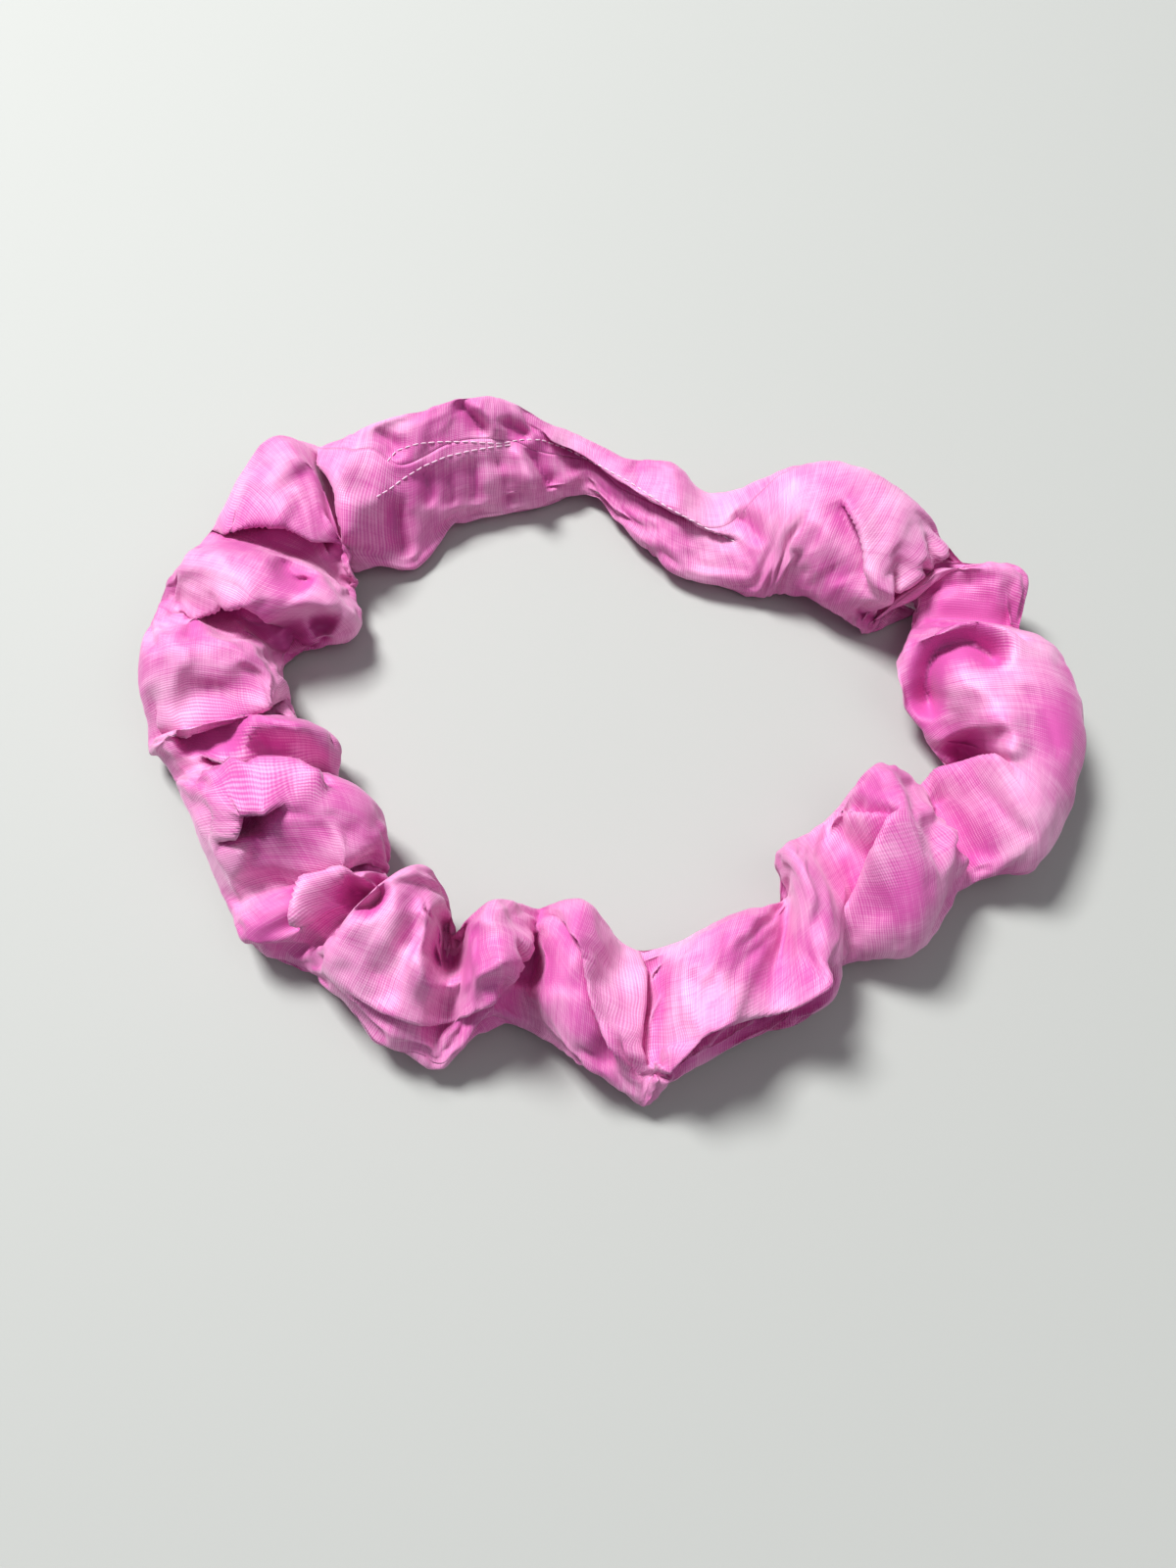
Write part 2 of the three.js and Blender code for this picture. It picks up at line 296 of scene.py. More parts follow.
FOLDS = [
    # the wide panel at the back left: its rolled rim, and puckers on both sides of its topstitching
    ("lip", 5, 5, [(-77, 88), (-73, 84), (-69, 78), (-67, 69), (-65, 59), (-65, 51)]),
    ("ridge", 2.1, 3, [(-74, 90), (-68, 82), (-64, 69), (-63, 55)]),
    ("crease", 2.4, 2.5, [(-49, 82), (-47, 77), (-46, 69)]),
    ("crease", 1.8, 2.2, [(-43, 83), (-41, 75), (-40, 69)]),
    ("crease", 2.1, 2.2, [(-37, 86), (-35, 78), (-34, 70)]),
    ("crease", 1.8, 2.2, [(-30, 88), (-27, 78), (-25, 69)]),
    ("ridge", 2.7, 2.5, [(-24, 90), (-21, 82), (-18, 73)]),
    ("crease", 3.2, 2.2, [(-22, 90), (-18, 82), (-14, 75)]),
    ("ridge", 2.1, 4, [(-60, 75), (-61, 65), (-61, 56)]),
    ("crease", 3.2, 3, [(-56, 73), (-54, 62), (-51, 53)]),
    ("crease", 2.9, 2.5, [(-41, 106), (-36, 100), (-32, 93)]),
    ("ridge", 2.1, 2.5, [(-38, 106), (-32, 100), (-28, 93)]),
    ("crease", 2.4, 2, [(-29, 99), (-25, 96), (-21, 92)]),
    ("lip", 1.4, 2, [(-19, 93), (-22, 98), (-24, 104)]),
    ("crease", 1.8, 3, [(-62, 96), (-57, 90), (-56, 85)]),
    # the waist, the rolled upper edge and the stitched groove to its right
    ("crease", 0.9, 2, [(-13, 92), (-10, 86), (-8, 80)]),
    ("lip", 2.4, 3.5, [(-17, 95), (-12, 91), (-5, 87), (5, 78), (15, 70), (25, 64), (33, 59)]),
    ("ridge", 1, 3, [(-12, 97), (0, 90), (8, 84)]),
    ("crease", 1, 1.6, [(8, 86), (9, 80), (10, 76)]),
    ("ridge", 0.9, 3, [(17, 84), (19, 77), (20, 69)]),
    ("hollow", 2.5, 2, [(32, 67), (37, 63), (39, 57)]),
    ("crease", 0.8, 2.5, [(0, 78), (3, 70), (6, 65)]),
    ("crease", 0.8, 2.5, [(20, 64), (21, 56), (23, 47)]),
    # the back-right bulge, lapping over the part behind it
    ("lip", 3, 3.4, [(61, 72), (64, 65), (66, 55), (64, 43)]),
    ("crease", 0.7, 2.5, [(68, 76), (70, 65), (70, 56)]),
    ("crease", 0.9, 2.4, [(55, 56), (57, 49), (59, 46)]),
    ("ridge", 0.8, 3, [(52, 67), (56, 61), (56, 51)]),
    ("lip", 5, 4, [(66, 36), (69, 43), (75, 47), (82, 53), (87, 59)]),
    ("crease", 2.4, 1.8, [(61, 38), (65, 35), (69, 35)]),
    # the corner behind the right loop
    ("crease", 1, 2, [(75, 45), (81, 43), (91, 46), (102, 48)]),
    ("crease", 0.7, 1.8, [(98, 45), (99, 38), (97, 32)]),
    ("lip", 4, 4, [(102, 28), (93, 31), (85, 32), (78, 32)]),
    # the right loop: a spiral fold round its hollow, with the smooth band in front
    ("crease", 9, 3.6, [(76, 7), (76, 16), (79, 24), (86, 27), (91, 25), (95, 21)]),
    ("ridge", 1.2, 4, [(79, 10), (84, 15), (90, 14), (94, 9), (96, 4)]),
    ("hollow", 8, 3.6, [(82, 3), (84, -2), (84, -7)]),
    ("ridge", 2.4, 3, [(87, 5), (93, 6), (95, 1), (91, -4)]),
    ("lip", 4.5, 4, [(93, -5), (87, -6), (80, -8), (71, -11)]),
    ("crease", 0.9, 2.6, [(85, -10), (90, -18), (96, -25)]),
    ("crease", 0.7, 3, [(98, 16), (103, 8), (104, -5)]),
    # the lower right: a flap lapped over the loop, and a pointed tuck
    ("lip", 4.5, 4.5, [(79, -32), (77, -27), (75, -21), (72, -15)]),
    ("lip", 4, 4.5, [(66, -17), (63, -23), (59, -30), (54, -40), (49, -49)]),
    ("lip", 3.6, 3, [(63, -18), (56, -19), (49, -18)]),
    ("crease", 1, 2.6, [(58, -8), (61, -12), (67, -12)]),
    ("crease", 0.7, 3, [(49, -20), (54, -26), (59, -33)]),
    ("crease", 1.2, 2.4, [(45, -40), (42, -48), (41, -54)]),
    ("ridge", 0.8, 3, [(41, -27), (47, -36), (49, -44)]),
    # the bottom right: one long lapped crease, and pleats that meet in a point
    ("lip", 5, 4.5, [(8, -77), (9, -75), (13, -71), (18, -66), (26, -63), (35, -61), (43, -57), (46, -53)]),
    ("lip", 3, 3.6, [(-11, -43), (-6, -47), (-4, -54), (-3, -61), (-1, -68), (1, -75)]),
    ("lip", 3, 3.4, [(5, -74), (5, -69), (6, -59), (6, -50)]),
    ("crease", 2.2, 3, [(7, -77), (9, -67), (11, -59), (10, -51)]),
    ("ridge", 1, 3, [(10, -74), (13, -67), (16, -57), (17, -49)]),
    ("crease", 0.9, 3, [(24, -43), (25, -49), (24, -57)]),
    ("ridge", 0.8, 3, [(31, -40), (33, -48), (30, -56)]),
    ("crease", 0.8, 3, [(37, -38), (37, -46), (34, -54)]),
    # the bottom middle: an arched band over a deep hollow
    ("lip", 3.4, 5, [(-21, -58), (-20, -54), (-18, -49), (-17, -46)]),
    ("crease", 2.6, 4, [(-17, -58), (-16, -54), (-15, -49)]),
    ("ridge", 1.4, 3, [(-16, -65), (-12, -57), (-6, -49)]),
    # the bottom left: an upright fold, a deep valley beside it and the long seam's groove
    ("crease", 7, 4.6, [(-34, -43), (-35, -49), (-37, -54)]),
    ("ridge", 4, 2.4, [(-40, -36), (-40, -45), (-41, -53), (-38, -58), (-32, -57), (-26, -53), (-22, -49)]),
    ("crease", 1, 2.6, [(-43, -35), (-42, -44), (-44, -52)]),
    ("ridge", 1.2, 3, [(-46, -36), (-47, -44), (-50, -51)]),
    (
        "lip",
        1.8,
        2,
        [(-56, -59), (-51, -62), (-46, -64), (-41, -66), (-36, -66), (-30, -64), (-25, -61), (-21, -57)],
    ),
    ("crease", 0.8, 3, [(-58, -46), (-53, -52), (-45, -60)]),
    # the curled band above it, and its hollow
    ("lip", 4.5, 4, [(-58, -29), (-63, -32), (-66, -36), (-68, -42), (-67, -46)]),
    ("ridge", 1.3, 3, [(-65, -46), (-65, -40), (-62, -36), (-57, -34), (-52, -35)]),
    ("hollow", 8, 2.2, [(-59, -37), (-54, -38), (-50, -40)]),
    # the lower left fold: its lower edge, its deep hole and the strands under it
    ("lip", 4.5, 4.5, [(-71, -36), (-66, -32), (-60, -28), (-54, -30)]),
    ("lip", 6, 3.6, [(-88, -25), (-87, -22), (-86, -17), (-80, -15), (-75, -16)]),
    ("hollow", 9, 3, [(-85, -23), (-83, -20), (-79, -19)]),
    ("ridge", 1.3, 2.4, [(-81, -22), (-82, -26), (-82, -34)]),
    ("crease", 1.2, 2.4, [(-78, -20), (-79, -25), (-80, -31)]),
    ("crease", 0.8, 3, [(-72, -15), (-65, -22), (-57, -28)]),
    # the stacked lips above it
    ("lip", 5, 3.4, [(-65, -11), (-70, -9), (-77, -7), (-86, -7), (-90, -7)]),
    ("lip", 4.5, 3, [(-94, -4), (-91, -3), (-85, -3), (-75, -4), (-69, -6)]),
    ("ridge", 3, 2.6, [(-85, 6), (-77, 7), (-70, 3), (-64, -5)]),
    ("ridge", 2.8, 2, [(-86, 1), (-82, 4), (-76, 4), (-71, 2)]),
    ("crease", 3.4, 1.8, [(-84, 1), (-79, 0), (-73, -1)]),
    ("lip", 6, 4.5, [(-103, 2), (-100, 5), (-93, 8), (-86, 10), (-81, 13), (-77, 12)]),
    ("hollow", 6, 3, [(-101, 0), (-95, 2), (-87, 4)]),
    # the upper left: two large folds with a slit between them
    ("lip", 5.5, 5, [(-105, 37), (-101, 38), (-95, 40), (-89, 41), (-84, 38), (-79, 32)]),
    ("ridge", 1.3, 1.6, [(-89, 40), (-82, 36), (-78, 29)]),
    ("crease", 2.4, 1.6, [(-86, 36), (-82, 31), (-79, 25)]),
    ("hollow", 6, 1.8, [(-81, 36), (-78, 32), (-76, 28)]),
    ("crease", 0.9, 2.4, [(-104, 33), (-103, 29), (-104, 26)]),
    ("crease", 0.8, 3, [(-90, 38), (-85, 28), (-80, 18)]),
    ("lip", 5.5, 4.8, [(-102, 62), (-98, 64), (-92, 66), (-83, 66), (-76, 63), (-70, 58)]),
    ("ridge", 0.9, 1.6, [(-88, 60), (-80, 62), (-74, 57), (-70, 54)]),
    ("lip", 3, 3, [(-71, 54), (-78, 59), (-84, 61), (-90, 60), (-97, 64)]),
    ("hollow", 7, 1.8, [(-84, 54), (-80, 49), (-77, 47), (-74, 45)]),
    ("hollow", 6, 2.4, [(-73, 32), (-70, 33), (-67, 32)]),
    ("crease", 4.5, 2.4, [(-77, 29), (-75, 26), (-72, 24)]),
    ("ridge", 1.2, 3, [(-78, 41), (-72, 38), (-67, 37)]),
    ("crease", 0.9, 4.5, [(-84, 85), (-77, 72), (-69, 59)]),
    ("ridge", 1.8, 5, [(-92, 82), (-88, 73), (-81, 69)]),
    ("crease", 0.8, 4, [(-97, 61), (-89, 51), (-81, 41)]),
]

CURVE_STEPS = 5  # straight pieces between two points of a fold line
FOLD_REACH = 3.5  # how far a fold reaches from its line, in widths
FOLD_ENDS = 1.2  # how fast a fold gains height from its ends, for each point of its line
FOLD_TIP = 0.1  # the share of its height that a fold keeps at its very ends
FACING_LEAST = 0.12  # the least cosine between cloth's outward direction and the sight line for a fold
FACING_GAIN = 2.6  # how fast the folds gain strength as the cloth turns towards the sight lines
RISE_SHARE = 0.85  # how far the cloth moves along the sight lines, as a share of a fold's height
CREASE_SHARPNESS = 1.2
HOLLOW_WALL = 0.9  # millimetres over which a hollow's wall drops
HOLLOW_END = 30  # a limit that keeps the exponent of a hollow's wall small
LIP_EDGE = 0.6  # millimetres over which a lip's upper cloth ends
LIP_ROLL = 1.2  # the width of a lip's rolled upper cloth, in widths
LIP_UNDER = 0.8  # how sharply the cloth under a lip comes back up
LIP_RISE = 0.45  # how far a lip's upper cloth rises, as a share of its height
LIP_SINK = 0.8  # how far the cloth under a lip sinks
LIP_LEAN = 0.5  # how far a lip hangs over, as a share of its height
LIP_TUCK = 0.6  # how far the cloth under a lip is drawn in, as a share of that
MOST_FOLD = 15.0  # millimetres that the folds may move a point
FOLD_FLOOR = 3.0  # millimetres above the table where the deepest hollows end


def on_table(points):
    """Where points fall on the table along the sight lines."""
    return SIGHT_POINT[:2] + (points[..., :2] - SIGHT_POINT[:2]) * (
        SIGHT_POINT[2] / (SIGHT_POINT[2] - points[..., 2:])
    )


def grid_normals(grid):
    """Outward directions on a grid that closes on itself both ways."""
    along = np.roll(grid, -1, axis=0) - np.roll(grid, 1, axis=0)
    around = np.roll(grid, -1, axis=1) - np.roll(grid, 1, axis=1)
    return unit(np.cross(along, around))


def smooth_step(before, start, end, after, t):
    """Points at the share t from start to end, on smooth curves that pass before, start, end, after."""
    return 0.5 * (
        2 * start
        + (end - before) * t
        + (2 * before - 5 * start + 4 * end - after) * t**2
        + (3 * start - before - 3 * end + after) * t**3
    )


def curved(line):
    """A smooth curve of short straight pieces through a line's points."""
    before = np.concatenate([line[:1], line[:-1]])[:-1]
    after = np.concatenate([line[1:], line[-1:]])[1:]
    start, end = line[:-1], line[1:]
    curve = [smooth_step(before, start, end, after, step / CURVE_STEPS) for step in range(CURVE_STEPS)]
    return np.concatenate([np.stack(curve, axis=1).reshape(-1, 2), line[-1:]])


def beside_path(spots, path):
    """For each spot: its distance from a path, the same with its sign (to the right is positive), how
    far along the path it lies from 0 to 1, and the direction to the path's right there."""
    pieces = len(path) - 1
    nearest = np.full(len(spots), np.inf)
    offset = np.zeros(len(spots))
    along = np.zeros(len(spots))
    sideways = np.zeros((len(spots), 2))
    for number in range(pieces):
        start = path[number]
        way = path[number + 1] - start
        share = np.clip(((spots - start) @ way) / (way @ way), 0, 1)
        gap = spots - start - share[:, None] * way
        away = np.linalg.norm(gap, axis=1)
        right = np.array([way[1], -way[0]]) / np.linalg.norm(way)
        closer = away < nearest
        nearest[closer] = away[closer]
        offset[closer] = (away * np.sign(gap @ right))[closer]
        along[closer] = (number + share[closer]) / pieces
        sideways[closer] = right
    return nearest, offset, along, sideways


def press_folds(grid, strength):
    """Raises, sinks and laps the cloth of a grid in millimetres along the folds."""
    normals = grid_normals(grid)
    sight = unit(SIGHT_POINT - grid)
    facing = np.clip(((normals * sight).sum(-1) - FACING_LEAST) * FACING_GAIN, 0, 1)
    seen = on_table(grid)
    rising = sight * RISE_SHARE
    moved = np.zeros_like(grid)
    for kind, height, width, line in FOLDS:
        path = curved(np.array(line, float))
        margin = FOLD_REACH * width
        near = ((seen > path.min(0) - margin) & (seen < path.max(0) + margin)).all(-1) & (facing > 0)
        spots = seen[near]
        if not len(spots):
            continue
        nearest, offset, along, sideways = beside_path(spots, path)
        ends = np.clip(np.minimum(along, 1 - along) * len(line) * FOLD_ENDS + FOLD_TIP, 0, 1)
        power = strength * height * ends * facing[near]
        lean = np.zeros(len(spots))
        if kind == "ridge":
            lift = power * np.exp(-((nearest / width) ** 2))
        elif kind == "crease":
            lift = -power * np.exp(-nearest / width * CREASE_SHARPNESS)
        elif kind == "hollow":
            lift = -power / (1 + np.exp(np.minimum((nearest - width) / HOLLOW_WALL, HOLLOW_END)))
        else:
            over = 0.5 - 0.5 * np.tanh(offset / LIP_EDGE)
            upper = over * np.exp(-((nearest / width / LIP_ROLL) ** 2))
            under = (1 - over) * np.exp(-nearest / width * LIP_UNDER)
            lift = power * (LIP_RISE * upper - LIP_SINK * under)
            lean = power * LIP_LEAN * (upper - LIP_TUCK * under) * facing[near]
        moved[near] += rising[near] * lift[:, None]
        moved[near, :2] += sideways * lean[:, None]
    distance = np.linalg.norm(moved, axis=-1, keepdims=True)
    pressed = grid + moved * (MOST_FOLD * np.tanh(distance / MOST_FOLD) / np.maximum(distance, 1e-9))
    pressed[..., 2] = np.maximum(pressed[..., 2], np.minimum(grid[..., 2], FOLD_FLOOR))
    return pressed


def finer_grid(grid, columns, corners):
    """The same closed surface with more rows and places, on smooth curves through the old ones."""
    for axis, count in ((0, columns), (1, corners)):
        old = grid.shape[axis]
        place = np.arange(count) * old / count
        first = place.astype(int)
        t = (place - first).reshape((-1, 1, 1) if axis == 0 else (1, -1, 1))
        grid = smooth_step(*(np.take(grid, (first + step) % old, axis=axis) for step in (-1, 0, 1, 2)), t)
    return grid


def soften(grid, times, share):
    """Moves each point of a closed grid part of the way to the middle of its neighbours."""
    for _ in range(times):
        middle = sum(np.roll(grid, step, axis=axis) for step in (-1, 1) for axis in (0, 1)) / 4
        grid = grid + share * (middle - grid)
    return grid


# ---- Cloth simulation -----------------------------------------------------------------------

SIM_FRAMES = 16
SIM_REACH = 1.4  # millimetres that a point may move, so that the folds stay where they are


def weight_group(piece, name, weights):
    group = piece.vertex_groups.new(name=name)
    for weight in np.unique(weights):
        if weight > 0:
            group.add(np.flatnonzero(weights == weight).tolist(), float(weight), "REPLACE")


def settle(piece, held, smooth, growth, frames, reach):
    """Lets the cloth of a piece pucker and settle on the surface, then keeps its new shape."""
    scene = bpy.context.scene
    rest = np.empty(len(piece.data.vertices) * 3)
    piece.data.vertices.foreach_get("co", rest)
    rest = rest.reshape(-1, 3)
    ground_mesh = bpy.data.meshes.new("sim_ground")
    size = 0.3
    ground_mesh.from_pydata(
        [(-size, -size, 0), (size, -size, 0), (size, size, 0), (-size, size, 0)], [], [(0, 1, 2, 3)]
    )
    ground = bpy.data.objects.new("sim_ground", ground_mesh)
    scene.collection.objects.link(ground)
    ground.modifiers.new("Collision", "COLLISION")
    ground.collision.thickness_outer = 0.001
    ground.collision.cloth_friction = 20
    weight_group(piece, "held", held)
    weight_group(piece, "smooth", smooth)
    cloth = piece.modifiers.new("Settle", "CLOTH")
    settings = cloth.settings
    settings.quality = 4
    settings.mass = 0.001
    settings.air_damping = 1.0
    settings.tension_stiffness = 15
    settings.compression_stiffness = 15
    settings.shear_stiffness = 5
    settings.bending_stiffness = 0.004
    settings.tension_damping = 5
    settings.compression_damping = 5
    settings.shear_damping = 5
    settings.bending_damping = 0.5
    settings.vertex_group_mass = "held"
    settings.pin_stiffness = 1.0
    settings.vertex_group_shrink = "smooth"
    settings.shrink_min = -growth
    settings.shrink_max = 0.0
    settings.effector_weights.gravity = 0.05
    cloth.collision_settings.use_self_collision = True
    cloth.collision_settings.self_distance_min = 0.0008
    cloth.collision_settings.distance_min = 0.0005
    cloth.collision_settings.collision_quality = 2
    cloth.point_cache.frame_start = 1
    cloth.point_cache.frame_end = frames
    for number in range(1, frames + 1):
        scene.frame_set(number)
    graph = bpy.context.evaluated_depsgraph_get()
    settled = np.empty(len(rest) * 3)
    piece.evaluated_get(graph).data.vertices.foreach_get("co", settled)
    settled = settled.reshape(-1, 3)
    piece.modifiers.remove(cloth)
    piece.vertex_groups.clear()
    bpy.data.objects.remove(ground)
    bpy.data.meshes.remove(ground_mesh)
    scene.frame_set(1)
    moved = settled - rest
    distance = np.linalg.norm(moved, axis=1)
    limit = reach * MM
    kept = limit * np.tanh(distance / limit) / np.maximum(distance, 1e-9)
    piece.data.vertices.foreach_set("co", (rest + moved * kept[:, None]).ravel())
    piece.data.update()


# ---- Materials ------------------------------------------------------------------------------


class Wire:
    """An output socket in a material. Sums and products of wires and numbers add Math nodes."""

    def __init__(self, finish, socket):
        self.finish = finish
        self.socket = socket

    def math(self, operation, *values):
        return self.finish.node("ShaderNodeMath", {"operation": operation}, *values)

    def __add__(self, other):
        return self.math("ADD", self, other)

    __radd__ = __add__

    def __sub__(self, other):
        return self.math("SUBTRACT", self, other)

    def __rsub__(self, other):
        return self.math("SUBTRACT", other, self)

    def __mul__(self, other):
        return self.math("MULTIPLY", self, other)

    __rmul__ = __mul__

    def sine(self):
        return self.math("SINE", self)

    def clamped(self):
        return self.finish.node("ShaderNodeClamp", {}, self, 0.0, 1.0)


class Finish:
    """A material under construction, with its Principled shader."""

    def __init__(self, name):
        self.material = bpy.data.materials.new(name)
        self.material.use_nodes = True
        self.tree = self.material.node_tree
        self.shader = self.tree.nodes["Principled BSDF"]

    def fill(self, socket, value):
        """Links a wire to a socket, or sets the socket to a value."""
        if isinstance(value, Wire):
            self.tree.links.new(value.socket, socket)
        else:
            socket.default_value = value

    def node(self, kind, settings, *values, out=0, **named):
        """Adds a node: its settings first, then its sockets in order, then its sockets by name. A
        socket's name is its identifier, or its label with underscores for spaces."""
        node = self.tree.nodes.new(kind)
        for name, setting in settings.items():
            setattr(node, name, setting)
        for socket, value in zip(node.inputs, values):
            self.fill(socket, value)
        for name, value in named.items():
            self.fill(self.socket(node.inputs, name), value)
        return Wire(self, self.socket(node.outputs, out) if isinstance(out, str) else node.outputs[out])

    def socket(self, sockets, name):
        """The socket with this identifier or label."""
        for socket in sockets:
            if socket.identifier == name:
                return socket
        return sockets[name.replace("_", " ")]

    def blend(self, share, first, second):
        """A colour between two colours."""
        colours = {"Factor_Float": share, "A_Color": first, "B_Color": second}
        return self.node("ShaderNodeMix", {"data_type": "RGBA"}, out="Result_Color", **colours)

    def noise(self, place, scale, detail=2.0, roughness=0.5):
        return self.node(
            "ShaderNodeTexNoise", {}, Vector=place, Scale=scale, Detail=detail, Roughness=roughness
        )

    def bump(self, height, distance, strength=1.0):
        return self.node("ShaderNodeBump", {}, Height=height, Distance=distance, Strength=strength)

    def set(self, **values):
        """Sets the shader's sockets, named with underscores for spaces."""
        for name, value in values.items():
            self.fill(self.shader.inputs[name.replace("_", " ")], value)


def solid(colour):
    """A colour with full opacity."""
    return (*colour, 1.0)


RIB_PITCH = 0.45  # millimetres between the cloth's ribs


def cloth_finish():
    """Shot cloth with fine ribs across the strip, uneven yarns, patches of tone and a satin shine, and
    painted shade that darkens its colour towards the deep pink where the folds sink it.
    """
    colours = bpy.context.scene.band_colours
    finish = Finish("casing_cloth")
    flat = finish.node("ShaderNodeUVMap", {"uv_map": "cloth"})
    along = finish.node("ShaderNodeSeparateXYZ", {}, flat, out=0)
    across = finish.node("ShaderNodeSeparateXYZ", {}, flat, out=1)
    place = finish.node("ShaderNodeTexCoord", {}, out=3)
    waver = finish.noise(flat, 0.12, detail=2.0)
    slub_place = finish.node("ShaderNodeCombineXYZ", {}, along * 1.8, across * 0.06, 0.0)
    slub = finish.noise(slub_place, 1.0, detail=3.0, roughness=0.6)
    yarn_place = finish.node("ShaderNodeCombineXYZ", {}, along * 0.15, across * 2.2, 0.0)
    yarn = finish.noise(yarn_place, 1.0, detail=2.0)
    rib = ((along + waver * 0.8) * (TURN / RIB_PITCH)).sine() * 0.5 + 0.5
    crossing = ((across + waver * 0.5) * (TURN / (RIB_PITCH * 0.9))).sine() * 0.5 + 0.5
    patches = finish.noise(place, 55.0, detail=2.0, roughness=0.5)
    blotches = finish.noise(place, 190.0, detail=2.0, roughness=0.6)
    weave = rib * (crossing * 0.3 + 0.7)
    # painted shade: the stored fold depth darkens the cloth's colour in its hollows and creases
    hollow = finish.node("ShaderNodeAttribute", {"attribute_name": "hollow"}, out=2)
    tone = (
        (patches - 0.5) * 1.8 + (blotches - 0.5) * 0.4 + (slub - 0.5) * 0.9 + (yarn - 0.5) * 0.5
        + weave * 0.42 + 0.2 - (hollow - 0.5).clamped() * 2.0
    ).clamped()
    relief = rib * 0.45 + crossing * 0.3 + slub * 0.7
    finish.set(
        Base_Color=finish.blend(tone, solid(colours.deep), solid(colours.pale)),
        Roughness=(0.36 + slub * 0.15 + yarn * 0.1),
        Normal=finish.bump(relief, 0.0001, 0.75),
        Sheen_Weight=0.3,
        Sheen_Roughness=0.4,
        Sheen_Tint=(1.0, 0.75, 0.92, 1.0),
        Specular_IOR_Level=0.5,
        Anisotropic=0.5,
    )
    return finish.material


def thread_finish():
    """Twisted sewing thread in the cloth's palest tone."""
    finish = Finish("sewing_thread")
    place = finish.node("ShaderNodeTexCoord", {}, out=3)
    twist = finish.noise(place, 900.0, detail=2.0)
    finish.set(
        Base_Color=finish.blend(twist, solid((0.82, 0.5, 0.68)), solid((0.93, 0.7, 0.84))),
        Roughness=0.5 + twist * 0.2,
        Normal=finish.bump(twist, 0.00005),
        Sheen_Weight=0.3,
    )
    return finish.material


def elastic_finish():
    """White braided elastic with fine crosswise threads."""
    finish = Finish("elastic_braid")
    place = finish.node("ShaderNodeTexCoord", {}, out=3)
    yarn = finish.noise(place, 1400.0, detail=2.0)
    tone = finish.noise(place, 250.0, detail=3.0)
    finish.set(
        Base_Color=finish.blend(tone, solid((0.78, 0.76, 0.74)), solid((0.92, 0.91, 0.9))),
        Roughness=0.6 + yarn * 0.25,
        Normal=finish.bump(yarn, 0.0001),
    )
    return finish.material


def floor_finish():
    colours = bpy.context.scene.band_colours
    finish = Finish("pale_floor")
    finish.set(Base_Color=solid(colours.floor), Roughness=0.7)
    return finish.material


# ---- Pieces ---------------------------------------------------------------------------------


def place_piece(name, mesh, material):
    piece = bpy.data.objects.new(name, mesh)
    bpy.context.scene.collection.objects.link(piece)
    mesh.materials.clear()
    mesh.materials.append(material)
    return piece


FOLD_STRENGTH = 1.9  # how much stronger the folds are pressed than they are drawn
FINE_COLUMNS = 720
FINE_CORNERS = 126

# Where the cloth grows little and stays smooth: a middle in millimetres and a radius.
SMOOTH_PLACES = [((-32, 68), 34), ((-3, 74), 16), ((92, -8), 22)]


def settle_weights(grid):
    """How firmly each point is held, and how smooth it stays, from 0 to 1 in steps of a tenth."""
    points = grid.reshape(-1, 3)
    smooth = np.zeros(len(points))
    for middle, radius in SMOOTH_PLACES:
        away = np.linalg.norm(points[:, :2] - np.array(middle), axis=1)
        smooth = np.maximum(smooth, np.clip(1.6 - 1.6 * away / radius, 0, 1))
    held = np.where(points[:, 2] < 1.2, 1.0, 0.0)
    return held, np.round(smooth * 0.85, 1)


CRINKLE_LONG = 5.0  # millimetres along the band between fine wrinkles
CRINKLE_WIDE = 16.0  # and round it, because they run across the strip
CRINKLE_HEIGHT = 0.36


def crinkled(grid):
    """Adds fine wrinkles that run across the strip, and none on the underside."""
    columns, corners = grid.shape[:2]
    sizes = bpy.context.scene.band_sizes
    normals = grid_normals(soften(grid, 6, 0.5))
    height = np.empty((columns, corners))
    along = np.arange(columns) / columns * TURN
    round_it = sizes.strip_length / MM / CRINKLE_LONG / TURN
    ring_across = sizes.strip_width / MM / CRINKLE_WIDE / TURN
    for row in range(columns):
        x, y = round_it * math.cos(along[row]), round_it * math.sin(along[row])
        for spot in range(corners):
            angle = TURN * spot / corners
            sway = ring_across * math.cos(angle)
            place = Vector((x + 0.5 * sway, y - 0.5 * sway, ring_across * math.sin(angle)))
            height[row, spot] = noise.noise(place) + 0.5 * noise.noise(place * 2.3)
    free = np.clip(grid[..., 2] / 4, 0, 1)
    wrinkled = grid + normals * (height * CRINKLE_HEIGHT * free)[..., None]
    wrinkled[..., 2] = np.maximum(wrinkled[..., 2], LOWEST)
    return wrinkled


# How far the strip's edges are turned in at the lengthwise seam, in millimetres and at most as a
# share of the way to the middle of the band, from the cut edge outwards.
TURNED_IN = ((3.6, 0.5), (2.2, 0.33), (1.0, 0.16))
PAINTED_SHADE_DEPTH = 7.0  # millimetres below its surroundings where the painted shade in the hollows is darkest
EDGE_SPREAD = 0.05  # half the gap between the turned-in edges
SEAM_SINK = 0.35  # how far the seam lies below the cloth beside it
SEAM_PITCH = 2.5
SEAM_GAP = 0.5
CROSS_SEAM_SIZE = 0.72  # the ring of the cross seam, as a share of the casing there
ELASTIC_COLUMNS = 220
ELASTIC_SMOOTHING = 8
ELASTIC_RISE = 0.25  # where the elastic lies between the casing's underside and its top
ELASTIC_WIDTH = 6.4
ELASTIC_THICKNESS = 1.1
ELASTIC_COVER = 2 * ELASTIC_THICKNESS  # millimetres that the cloth stays above the elastic's middle
ELASTIC_PROBES = (-0.6, -0.3, 0.0, 0.3, 0.6)  # where the cloth over it is measured, in its widths
ELASTIC_RIBS = 6
